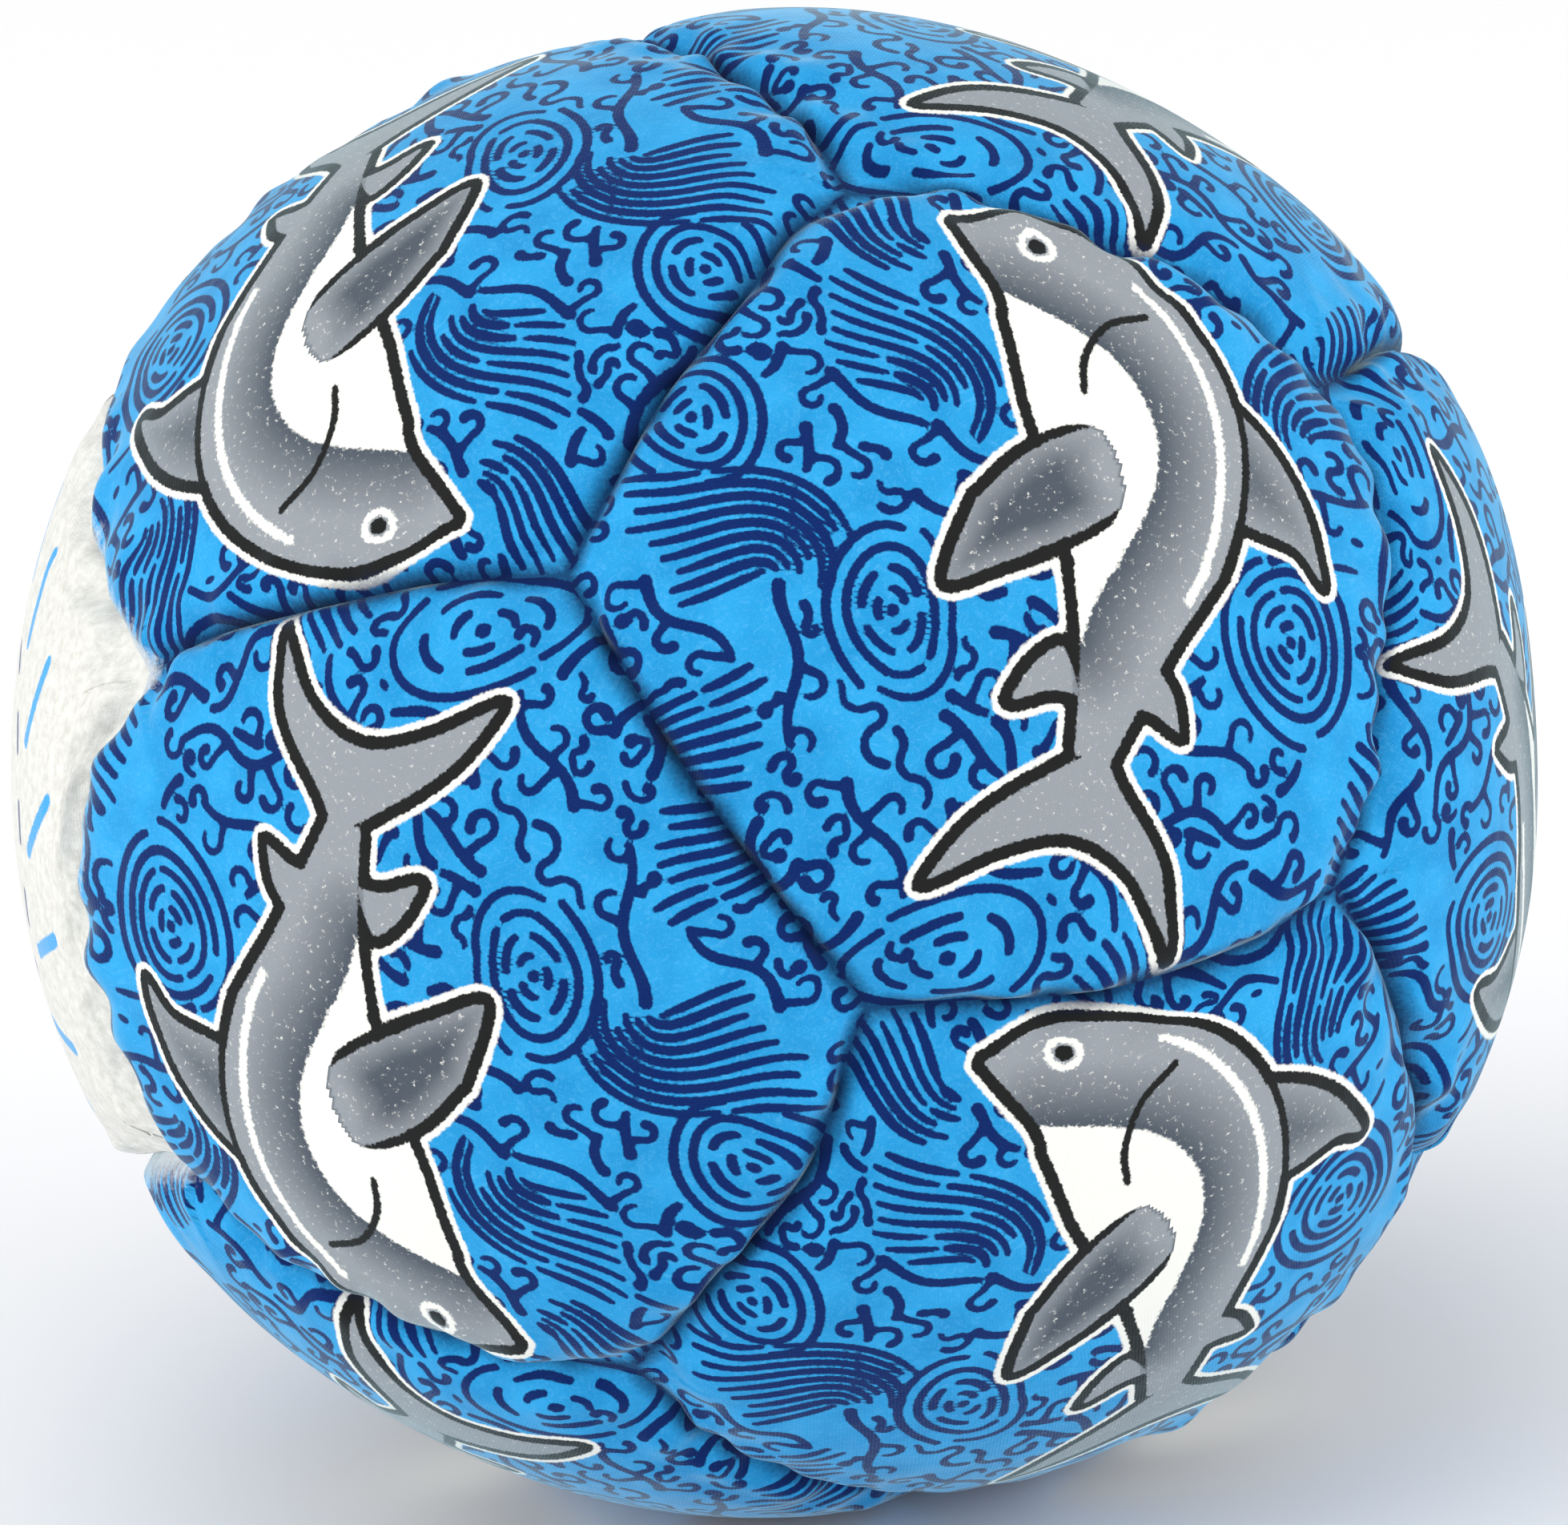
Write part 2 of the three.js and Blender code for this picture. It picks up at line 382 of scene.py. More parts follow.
def fuller_side(first, second):
    """Which of two neighbouring rims is the fuller one, from -1 to 1: positive leans the seam
    towards the second panel."""
    fullness = np.array([FULLNESS[name] for name in NAMES])
    return fullness[first] - fullness[second]


def fading(away, reach):
    """A bell: 1 at a seam or middle and about a third at reach from it."""
    return np.exp(-((away / reach) ** 2))


LUMPS = [  # between which panels the filling pushes the cover out, by how much and how far round
    (("panel_right_front_low", "panel_right_bottom"), 0.8, 9),
    (("panel_right_front_low", "panel_right_bottom", BLUE_END), 0.5, 8),
    (("panel_left_top", "panel_left_back_high", WHITE_END), 0.5, 9),
    (("panel_right_top", BLUE_END), 0.5, 8),
    (("panel_left_bottom", WHITE_END), 0.4, 8),
    (("panel_left_front", WHITE_END), 0.5, 8),
    ((BLUE_END,), -0.35, 7),
]


def lumps(out):
    """How far the filling pushes the cover out, in millimetres."""
    total = np.zeros(len(out))
    for names, height, reach in LUMPS:
        middle = unit(sum(FRAMES[name][0] for name in names))
        total += height * fading(arc(np.arccos(np.clip(out @ middle, -1, 1))), reach)
    return total


def corner_distances(out):
    """How far the nearest meeting point of three seams is, in millimetres."""
    meeting = []
    for i in range(len(AXES)):
        for j in range(i + 1, len(AXES)):
            for k in range(j + 1, len(AXES)):
                three = AXES[[i, j, k]]
                if min(three[0] @ three[1], three[1] @ three[2], three[0] @ three[2]) > 0.3:
                    meeting.append(unit(three.sum(axis=0)))
    nearest = (out @ np.array(meeting).T).max(axis=1)
    return arc(np.arccos(np.clip(nearest, -1, 1)))


def sewn_shape(points, faces, out):
    """Rolls a panel's rim over into its seams, with gathers and dimples, and leans the seams."""
    first, second, away = seam_distances(out)
    normals = vertex_normals(points, faces)
    bias = fuller_side(first, second)
    across = AXES[second] - AXES[first]
    across /= np.linalg.norm(across, axis=1)[:, None]
    place = out * RADIUS / MM
    lean = ROLL_OVER * bias * fading(away, ROLL_REACH)
    lean *= 1 + ROLL_UNEVEN * wobble(place, 5, lowest=0.2, highest=0.5)
    wander = WANDER * wobble(place, 8, lowest=0.25, highest=0.6)
    lean += wander * np.where(first < second, 1, -1) * fading(away, ROLL_REACH)
    to_corner = corner_distances(out)
    lean *= 1 - fading(to_corner, CORNER_REACH)
    bias = np.clip(bias, -1, 1)
    width = SHOULDER_WIDTH * (1 + 0.2 * bias)
    inside = SHOULDER_END * np.clip(1 - away / width, 0, 1)
    drop = SHOULDER_DROP * (1 - np.sqrt(1 - inside**2))
    lift = SWELL * bias * fading(away, SWELL_REACH) * np.clip(away / 0.5, 0, 1)
    drop += DIMPLE * fading(to_corner, DIMPLE_REACH)
    gather = wobble(place, 11, waves=10, lowest=1.2, highest=2.6)
    lift += PUCKER * gather * fading(away, PUCKER_REACH) * np.clip(away / 0.4, 0, 1)
    drop += PILLOW * fading(away, PILLOW_REACH) - lumps(out)
    moved = points + (across * lean[:, None] + normals * lift[:, None] - out * drop[:, None]) * MM
    reach = np.linalg.norm(moved, axis=1)
    least = RADIUS - DEEPEST * MM
    soft = DEEPEST_SOFTNESS * MM
    spare = soft * np.logaddexp(0, (reach - least) / soft)
    return moved * ((least + spare) / reach)[:, None], away


def settled(points):
    """The ball's points as it rests: a little lower than wide, and flat underneath, from the
    ball's centre to its place on the floor."""
    made = points.copy()
    made[:, 2] = made[:, 2] * SAG + CENTRE_HEIGHT
    low, soft = 0.02 * MM, 0.25 * MM
    lifted = low + soft * np.log1p(np.exp(np.clip((made[:, 2] - low) / soft, -60, 60)))
    made[:, 2] = np.where(made[:, 2] < 8 * soft, lifted, made[:, 2])
    return made


def panel_mesh(name, points, faces, flat):
    """A panel as one closed skin: the sewn outer face, the seam allowance turned in behind it and
    a plain inner face. Returns the object, how far its outer points are from the seam, and for
    every point the outer one that it takes its print from."""
    out = directions(flat, name)
    outer, away = sewn_shape(points, faces, out)
    axis = FRAMES[name][0]
    loop = rim_loop(faces)
    rim, rim_out = outer[loop], out[loop]
    inward = axis - rim_out * (rim_out @ axis)[:, None]
    inward /= np.linalg.norm(inward, axis=1)[:, None]
    rings = [rim + (inward * aside - rim_out * deeper) * MM for aside, deeper in TURNED_IN]
    inner_radius = RADIUS - INNER_DEPTH * MM
    rings += [directions(flat[loop] * share, name) * inner_radius for share in INNER_RINGS]
    quads, last, count = [faces], loop, len(outer)
    for ring in rings:
        new = np.arange(count, count + len(ring))
        quads.append(np.c_[last, new, np.roll(new, -1), np.roll(last, -1)])
        last, count = new, count + len(ring)
    fan = np.c_[last, np.full(len(last), count), np.roll(last, -1)]
    whole = settled(np.concatenate([outer, *rings, axis[None] * inner_radius]))
    source = np.concatenate([np.arange(len(outer)), *[loop] * len(rings), [0]])
    mesh = bpy.data.meshes.new(name + "_cloth")
    build_mesh(mesh, whole, np.concatenate(quads), fan)
    fold_along(mesh, loop)
    piece = bpy.data.objects.new(name + "_cloth", mesh)
    bpy.context.scene.collection.objects.link(piece)
    return piece, away, source


def build_mesh(mesh, points, quads, triangles):
    corners = np.concatenate([quads.ravel(), np.array(triangles, int).ravel()])
    sizes = np.concatenate([np.full(len(quads), 4), np.full(len(triangles), 3)])
    mesh.vertices.add(len(points))
    mesh.vertices.foreach_set("co", points.astype(np.float32).ravel())
    mesh.loops.add(len(corners))
    mesh.loops.foreach_set("vertex_index", corners.astype(np.int32))
    mesh.polygons.add(len(sizes))
    mesh.polygons.foreach_set("loop_start", np.r_[0, np.cumsum(sizes)[:-1]].astype(np.int32))
    mesh.update(calc_edges=True)
    mesh.validate()
    mesh.shade_smooth()


def fold_along(mesh, loop):
    """Makes the edges between a loop's points sharp, so that each side is shaded by itself."""
    folded = np.isin(fetched(mesh.edges, "vertices", 2, np.int32), loop).all(axis=1)
    mesh.attributes.new("sharp_edge", "BOOLEAN", "EDGE").data.foreach_set("value", folded)


def add_attribute(mesh, name, values):
    """A number for each point."""
    values = np.asarray(values, np.float32)
    mesh.attributes.new(name, "FLOAT", "POINT").data.foreach_set("value", values)


def add_places(mesh, places):
    """The print's own coordinates, in millimetres, as a vector for each point and as UVs."""
    whole = np.c_[places, np.zeros(len(places))].astype(np.float32)
    mesh.attributes.new("place", "FLOAT_VECTOR", "POINT").data.foreach_set("vector", whole.ravel())
    corners = fetched(mesh.loops, "vertex_index", 1, np.int32).ravel()
    uv = places[corners] / PRINT_SIZE + 0.5
    mesh.uv_layers.new(name="print").data.foreach_set("uv", uv.astype(np.float32).ravel())


# ---- The print, drawn in millimetres from the middle of a panel: (right, up) ----

PRINT_SIZE = 44
UP_FROM_CORNER = math.radians(22)


def print_places(flat):
    """Where points of a panel's plane lie on the print, measured along the ball."""
    far = np.linalg.norm(flat, axis=1)
    reach = arc(np.arctan(far))
    angle = np.arctan2(flat[:, 1], flat[:, 0]) + UP_FROM_CORNER
    return np.c_[-reach * np.sin(angle), reach * np.cos(angle)]


def smooth_path(points, closed=False, steps=10):
    """A Catmull-Rom curve through given points."""
    p = np.array(points, float)
    if closed:
        p = np.concatenate([p[-1:], p, p[:2]])
    else:
        p = np.concatenate([2 * p[:1] - p[1:2], p, 2 * p[-1:] - p[-2:-1]])
    out = []
    for a, b, c, d in zip(p[:-3], p[1:-2], p[2:-1], p[3:]):
        for t in np.linspace(0, 1, steps, endpoint=False):
            out.append(
                0.5 * (2 * b + (c - a) * t + (2 * a - 5 * b + 4 * c - d) * t**2
                       + (3 * b - a - 3 * c + d) * t**3)
            )
    if not closed:
        out.append(p[-2])
    return np.array(out)


def edge_distance(at, a, b):
    """The square of each place's distance from the edge between two points."""
    edge = b - a
    along = np.clip(((at - a) @ edge) / max(edge @ edge, 1e-12), 0, 1)
    gap = at - a - along[:, None] * edge
    return np.einsum("ij,ij->i", gap, gap)


def signed_distance(at, outline):
    """Distance of each place from a closed outline, less than 0 inside it."""
    nearest = np.full(len(at), 1e9)
    inside = np.zeros(len(at), bool)
    for a, b in zip(outline, np.roll(outline, -1, axis=0)):
        nearest = np.minimum(nearest, edge_distance(at, a, b))
        edge = b - a
        crosses = (a[1] > at[:, 1]) != (b[1] > at[:, 1])
        if abs(edge[1]) > 1e-12:
            crosses &= at[:, 0] < a[0] + (at[:, 1] - a[1]) * edge[0] / edge[1]
            inside ^= crosses
    return np.where(inside, -1, 1) * np.sqrt(nearest)


def line_distance(at, path):
    """Distance of each place from an open line."""
    nearest = np.full(len(at), 1e9)
    for a, b in zip(path[:-1], path[1:]):
        nearest = np.minimum(nearest, edge_distance(at, a, b))
    return np.sqrt(nearest)


# A plain fish of no particular kind: a spindle about a bent spine, with fins.
FISH_SPINE = [(-3.8, 16.2), (0.4, 13.8), (3.2, 9.2), (4.0, 3.4), (3.2, -2.6), (2.2, -8.4)]
FISH_HALF_WIDTHS = [(0, 0.2), (0.1, 2.5), (0.22, 4.2), (0.4, 5.2), (0.6, 4.4), (0.8, 2.4), (1, 1.0)]
FISH_BELLY_SPAN = (0.12, 0.84)  # where the pale belly starts and ends along the spine
FISH_BACK_FIN = [
    (6.6, 9.4), (9.4, 8.4), (11.8, 5.8), (13.2, 2.4), (13.0, 1.4), (11.4, 2.6), (8.6, 3.0), (6.0, 4.4),
]
FISH_SIDE_FIN = [
    (1.8, 6.0), (-1.2, 5.0), (-3.6, 2.4), (-4.8, -0.6), (-4.6, -1.8), (-2.4, -0.8), (0.6, 0.8),
    (2.8, 3.0),
]
FISH_FIN_ROOT = (2.9, 4.6)
FISH_FIN_ROOT_RADIUS = 1.8
FISH_TAIL = [
    (2.6, -7.6), (0.0, -9.0), (-2.6, -11.2), (-4.2, -13.8), (-3.8, -14.2), (-0.8, -12.4),
    (2.0, -11.6), (4.8, -12.6), (7.4, -15.0), (7.8, -14.8), (6.6, -11.8), (4.2, -9.2),
]
FISH_SMALL_FINS = [
    [(0.6, -3.4), (-0.8, -4.2), (-1.8, -6.0), (-1.4, -6.4), (0.2, -5.8), (1.6, -5.6)],
    [(4.4, -3.6), (5.8, -4.6), (6.4, -6.4), (6.0, -6.6), (4.6, -6.0), (3.2, -5.8)],
]
FISH_EYE_PLACE = (0.14, 0.30)   # a share of the spine, and of the half width towards the back
FISH_EYE_RADIUS = 0.42
FISH_GILL = [(4.6, 12.4), (2.6, 11.4), (1.4, 9.6), (1.2, 7.8)]
FISH_GLINT_SPAN = (0.24, 0.72)
OUTLINE_WIDTH = 0.56


def fish_spine():
    """Points along the spine, their shares of it, and the half widths towards the back."""
    spine = resampled(smooth_path(FISH_SPINE), 0.4)
    share = np.linspace(0, 1, len(spine))
    profile = smooth_path(FISH_HALF_WIDTHS)
    along = np.gradient(spine, axis=0)
    back = np.c_[-along[:, 1], along[:, 0]] / np.linalg.norm(along, axis=1)[:, None]
    return spine, share, back * np.interp(share, profile[:, 0], profile[:, 1])[:, None]


def fish_fields(at):
    """The fish as distances: its whole outline, its inner lines, its pale parts and its shade."""
    spine, share, half = fish_spine()
    body = signed_distance(at, np.concatenate([spine + half, (spine - half)[::-1]]))
    back_fin, side_fin, tail, *small_fins = (
        signed_distance(at, smooth_path(points, closed=True))
        for points in (FISH_BACK_FIN, FISH_SIDE_FIN, FISH_TAIL, *FISH_SMALL_FINS)
    )
    whole = np.minimum.reduce([body, back_fin, side_fin, tail, *small_fins])

    root = np.linalg.norm(at - np.array(FISH_FIN_ROOT), axis=1) - FISH_FIN_ROOT_RADIUS
    lines = np.where(root > 0, np.abs(side_fin) - OUTLINE_WIDTH * 0.4 * np.clip(root, 0, 1), 9)
    lines = np.minimum(lines, np.where(back_fin < 0, np.abs(body) - OUTLINE_WIDTH * 0.35, 9))
    gill = np.where(side_fin < 0, 9, line_distance(at, smooth_path(FISH_GILL)) - 0.18)
    eye_at = int(FISH_EYE_PLACE[0] * len(spine))
    eye = np.linalg.norm(at - (spine[eye_at] + half[eye_at] * FISH_EYE_PLACE[1]), axis=1)
    lines = np.minimum.reduce([lines, gill, eye - FISH_EYE_RADIUS])

    along = (share > FISH_BELLY_SPAN[0]) & (share < FISH_BELLY_SPAN[1])
    middle = np.sin(np.linspace(0, math.pi, along.sum()))[:, None]
    inner = spine[along] - half[along] * (0.85 - 0.98 * middle)
    belly = signed_distance(at, np.concatenate([inner, (spine - 1.4 * half)[along][::-1]]))
    pale = np.where((side_fin < 0) | (tail < 0), 9, belly)
    pale = np.minimum(pale, np.abs(eye - FISH_EYE_RADIUS - 0.3) - 0.18)
    shining = (share > FISH_GLINT_SPAN[0]) & (share < FISH_GLINT_SPAN[1])
    glint = line_distance(at, (spine + 0.74 * half)[shining]) - 0.22
    pale = np.minimum(pale, np.where(side_fin < 0, 9, glint))

    shade = np.clip(3.2 - belly, 0, 3) / 3.0 * (body < 0)
    shade = np.where((back_fin < 0) & (body > 0), np.clip(-back_fin / 2, 0, 1) * 0.8, shade)
    fin_shade = np.clip(-side_fin / 1.4, 0, 1) * np.clip(root / 2 + 0.4, 0, 1)
    shade = np.where(side_fin < 0, fin_shade, shade)
    return {"fish": whole, "fish_line": lines, "fish_pale": pale, "fish_shade": shade}


# ---- The print's waves. A stroke is (points, half widths) ----

PRINT_REACH = 22.5
INK_CELL = 0.1
INK_WIDEST = 0.6       # the most room that a stroke asks for
STROKE = 0.45          # a stroke's width
STEP = 0.1             # between the points of a stroke


class Ink:
    """A coarse picture of where ink already is, so that new strokes keep clear of it."""

    def __init__(self):
        self.count = int(2 * PRINT_REACH / INK_CELL)
        self.age = np.full((self.count, self.count), -1)
        self.now = 0
        reach = int(INK_WIDEST / INK_CELL)
        span = np.arange(-reach, reach + 1)
        self.disc_x, self.disc_y = np.meshgrid(span, span, indexing="ij")
        self.disc_far = np.hypot(self.disc_x, self.disc_y) * INK_CELL

    def cell(self, at):
        return int((at[0] + PRINT_REACH) / INK_CELL), int((at[1] + PRINT_REACH) / INK_CELL)

    def inside(self, at):
        return max(abs(at[0]), abs(at[1])) < PRINT_REACH - 0.7

    def mark(self, at):
        if self.inside(at):
            x, y = self.cell(at)
            self.age[x, y] = self.now
            self.now += 1

    def lift(self):
        """Ends a stroke: its marks are too old to count as a next one's own."""
        self.now += 100

    def free(self, at, room, own=0):
        """Whether no ink is within room of a place, apart from the newest own marks."""
        if not self.inside(at):
            return False
        x, y = self.cell(at)
        near = self.disc_far <= room
        ages = self.age[x + self.disc_x[near], y + self.disc_y[near]]
        return not ((ages >= 0) & (ages < self.now - own)).any()


def tapered(path, width, start=0.75, end=0.7):
    """A stroke that is thinner at its ends."""
    share = np.linspace(0, 1, len(path))
    lead = start + (1 - start) * np.minimum(share / 0.25, 1)
    trail = end + (1 - end) * np.minimum((1 - share) / 0.3, 1)
    return path, width / 2 * lead * trail


def heading_path(start, heading, bends):
    """A path from start that turns by the given radians a millimetre at each step."""
    angle = heading + np.cumsum(bends) * STEP
    moves = np.c_[np.cos(angle), np.sin(angle)] * STEP
    return np.array(start) + np.cumsum(moves, axis=0), angle


def breaker(rng, start, heading, length, bend, hook, lines):
    """Side-by-side lines that start one after another, bend over together and close up."""
    steps = int(length / STEP)
    share = np.linspace(0, 1, steps)
    bends = bend + (hook - bend) * np.clip((share - 0.35) / 0.4, 0, 1)
    spine, angle = heading_path(start, heading, bends)
    sideways = np.c_[-np.sin(angle), np.cos(angle)]
    strokes = []
    for k in range(lines):
        offset = k - (lines - 1) / 2
        line = spine + sideways * (offset * BREAKER_PITCH * (1 - BREAKER_CLOSING * share))[:, None]
        late = k / lines if hook > 0 else 1 - k / lines
        first = int(steps * (0.28 * late + rng.uniform(0, 0.10)))
        last = int(steps * (1 - rng.uniform(0, 0.2)))
        if rng.random() < 0.3:
            cut = first + int((last - first) * rng.uniform(0.3, 0.7))
            strokes.append(tapered(resampled(line[first:cut]), rng.uniform(0.85, 1.1) * STROKE))
            first = cut + 4
        strokes.append(tapered(resampled(line[first:last]), rng.uniform(0.9, 1.2) * STROKE))
    return strokes


def resampled(points, gap=STEP):
    """The same line with its points about gap apart."""
    lengths = np.r_[0, np.cumsum(np.linalg.norm(np.diff(points, axis=0), axis=1))]
    at = np.linspace(0, lengths[-1], max(3, int(lengths[-1] / gap)))
    return np.c_[np.interp(at, lengths, points[:, 0]), np.interp(at, lengths, points[:, 1])]


def whorl(rng, centre, radius, stretch, tilt):
    """Uneven rings about a dot, whole outside and broken into dashes towards the middle."""
    turn = np.array([[math.cos(tilt), -math.sin(tilt)], [math.sin(tilt), math.cos(tilt)]])
    phase = rng.uniform(0, 2 * math.pi, 2)
    rings = int(radius / RING_GAP)
    strokes = []
    for ring in range(rings + 1):
        r = max(radius * ring / rings, 0.12)
        parts = (1, 3, 4)[ring] if ring < 3 else int(rng.integers(1, 3))
        filled = (0.8, 0.45, 0.62)[ring] if ring < 3 else rng.uniform(0.86, 0.97)
        edge = rng.uniform(0, 2 * math.pi)
        for part in range(parts):
            start = edge + 2 * math.pi * part / parts
            size = 2 * math.pi / parts * filled
            angle = np.linspace(start, start + size, max(5, int(size * r / STEP)))
            uneven = 1 + 0.07 * np.sin(2 * angle + phase[0]) + 0.04 * np.sin(3 * angle + phase[1])
            flare = 1 + (0.12 * (angle - start) / size if ring == rings else 0)
            ellipse = np.c_[np.cos(angle) * stretch, np.sin(angle)] * (r * uneven * flare)[:, None]
            ring_path = resampled(np.array(centre) + ellipse @ turn.T)
            strokes.append(tapered(ring_path, STROKE * rng.uniform(0.9, 1.1), 0.9, 0.9))
    return strokes


PROBE = 0.25            # how far ahead a line of foam looks for room
OWN_MARKS = 13          # how many of its own newest marks it doesn't mind


def foam(rng, ink, start, heading, length, room):
    """A line of hooks that winds through free room, and stops where there is none."""
    at, path = np.array(start, float), []
    bend = rng.choice([-1, 1]) * rng.uniform(1.2, 1.9)
    swing, turned_by, travelled = rng.uniform(1.8, 3.6), 0.0, 0.0
    while travelled < length:
        if turned_by > swing:
            bend = -np.sign(bend) * rng.uniform(1.1, 2.4)
            swing, turned_by = rng.uniform(1.9, 4.2), 0.0
        for option in (bend, -bend, 1.7 * bend, -1.7 * bend):
            ahead = heading + option * PROBE
            probe = at + PROBE * np.array([math.cos(ahead), math.sin(ahead)])
            if ink.free(probe, room, OWN_MARKS):
                break
        else:
            break
        if option != bend:
            bend, turned_by = option, 0.0
        heading += option * STEP
        at = at + STEP * np.array([math.cos(heading), math.sin(heading)])
        path.append(at)
        ink.mark(at)
        travelled += STEP
        turned_by += abs(option) * STEP
    return np.array(path)


def current(at):
    """The way the water runs at a place, as an angle."""
    return -1.1 + 0.9 * math.sin(0.13 * at[0] + 0.6) + 0.7 * math.cos(0.11 * at[1])


CLAW_BLIND = 0.6        # the length over which a claw leaves its parent line
CLAW_ROOM = 0.5


def claw(rng, ink, start, heading, way):
    """A hook of foam: a short stem that curls over, where there is room past its blind start."""
    for _ in range(5):
        stem, radius, curl = rng.uniform(0.3, 1.5), rng.uniform(0.36, 0.56), rng.uniform(2.8, 4.6)
        swing = rng.uniform(-0.5, 0.5)
        bends = [-way * 0.3] * int(stem / STEP) + [way / radius] * int(curl * radius / STEP)
        path, _ = heading_path(start, heading + swing, np.array(bends))
        if all(ink.free(at, CLAW_ROOM) for at in path[int(CLAW_BLIND / STEP) :]):
            for at in path:
                ink.mark(at)
            ink.lift()
            return [tapered(path, STROKE * rng.uniform(0.8, 1.0), 1.25, rng.choice([0.8, 1.4]))]
    return []


CREST_ROOM = 0.55
CREST_SHORTEST = 14     # in steps


def crest(rng, ink, start, heading, length):
    """A long wavering line with claws of foam along its sides."""
    line, way = [], rng.choice([-1, 1])
    at = np.array(start, float)
    lean, phase = rng.uniform(0.3, 0.8), rng.uniform(0, 6)
    for step in range(int(length / STEP)):
        heading += lean * math.sin(step * 0.11 + phase) * STEP
        at = at + STEP * np.array([math.cos(heading), math.sin(heading)])
        if not ink.free(at, CREST_ROOM, len(line) + 1):
            break
        line.append((at, heading))
        ink.mark(at)
    ink.lift()
    if len(line) < CREST_SHORTEST:
        return []
    strokes = [tapered(np.array([p for p, _ in line]), STROKE * 1.15, 1.2, 0.8)]
    step = 1
    while step < len(line):
        p, along = line[step]
        side = way if rng.random() < 0.8 else -way
        strokes += claw(rng, ink, p, along + side * rng.uniform(0.9, 1.6), -side)
        step += int(rng.uniform(6, 11))
    return strokes


RING_GAP = 0.74
WHORLS = [  # centre, radius, stretch, tilt
    ((-6.8, -3.0), 3.4, 0.76, 0.3),
    ((11.4, -1.4), 4.2, 0.72, 0.3),
    ((-15.2, 5.4), 3.4, 0.75, 0.5),
    ((-2.4, -17.0), 2.4, 1.7, 0.5),
    ((11.0, 17.6), 2.5, 1.4, -0.4),
    ((18.2, 4.6), 2.8, 0.75, 0.0),
    ((-16.4, 14.4), 2.6, 1.1, 0.0),
]
BREAKER_PITCH = 0.86
BREAKER_CLOSING = 0.5   # how much of the pitch is lost by the lines' ends
BREAKERS = [  # start, heading, length, bend, hook, lines
    ((-19.4, -0.4), -0.2, 11.0, 0.12, -0.46, 9),
    ((-11.2, 11.4), -0.7, 10.4, 0.10, -0.42, 8),
    ((16.4, 14.0), -2.3, 9.6, -0.08, 0.42, 8),
    ((13.6, -7.4), -0.5, 9.6, 0.08, -0.44, 7),
    ((3.4, -14.8), -0.3, 8.0, -0.14, 0.44, 5),
    ((-10.6, -7.6), -2.6, 9.0, -0.08, 0.44, 7),
    ((-8.4, 20.0), -1.1, 7.6, -0.10, 0.36, 6),
]
SEED = 5
CALM = 0.55


def calm(at):
    """Whether a place is in one of the print's quieter patches."""
    x, y = at
    value = math.sin(0.42 * x + 1.3) * math.sin(0.37 * y + 0.4 * math.sin(0.3 * x) + 0.5)
    return value > CALM


def wave_strokes():
    """The whole print: rings and fans in their places, then foam wherever there is room."""
    rng = np.random.default_rng(SEED)
    ink = Ink()
    strokes = []
    for spec in WHORLS:
        strokes += whorl(rng, *spec)
    for spec in BREAKERS:
        strokes += breaker(rng, *spec)
    for path, _ in strokes:
        for at in path:
            ink.mark(at)
    ink.lift()
    grid = np.arange(-PRINT_REACH + 1, PRINT_REACH - 1, 0.8)
    spots = [np.array([x, y]) + rng.uniform(-0.4, 0.4, 2) for x in grid for y in grid]
    rng.shuffle(spots)
    for spot in spots[::3]:
        if ink.free(spot, CREST_ROOM) and not calm(spot):
            heading = current(spot) + rng.uniform(-0.5, 0.5)
            strokes += crest(rng, ink, spot, heading, rng.uniform(4, 10))
    for room, shortest in ((0.50, 14), (0.45, 9)):
        for spot in spots:
            if not ink.free(spot, room):
                continue
            if calm(spot):
                strokes += dash(rng, ink, spot)
                continue
            heading = current(spot) + rng.choice([0, math.pi]) + rng.uniform(-0.5, 0.5)
            path = foam(rng, ink, spot, heading, rng.uniform(2.5, 9), room)
            ink.lift()
            if len(path) > shortest:
                strokes.append(tapered(path, STROKE * rng.uniform(0.8, 1.0), 1.2, rng.choice([0.8, 1.4])))
    return strokes


def dash(rng, ink, start):
    """A short line along the current, where there is room for one."""
    bends = np.full(int(rng.uniform(5, 22)), rng.uniform(-0.3, 0.3))
    path, _ = heading_path(start, current(start) + rng.uniform(-0.2, 0.2), bends)
    if not all(ink.free(p, 0.6) for p in path[::2]):
        return []
    for p in path:
        ink.mark(p)
    ink.lift()
    return [tapered(path, STROKE * 0.9)]


def wave_field(at):
    """Distance of each place from the edge of the nearest navy stroke, less than 0 on it."""
    strokes = wave_strokes()
    points = np.concatenate([path for path, _ in strokes])
    widths = np.concatenate([width for _, width in strokes])
    tree = KDTree(len(points))
    for i, p in enumerate(points):
        tree.insert((p[0], p[1], 0.0), i)
    tree.balance()
    field = np.zeros(len(at))
    for i, p in enumerate(at):
        found = tree.find_n((p[0], p[1], 0.0), 3)
        field[i] = min(d - widths[k] for _, k, d in found)
    return np.minimum(field, 2.0)


# The white panel's plain badge: a ring of pale blue strokes with small navy dashes inside it.
BADGE_STROKES = 14
BADGE_RADIUS = 12.2
DASH_RADIUS = 8.6
BADGE_LEAN = 0.10


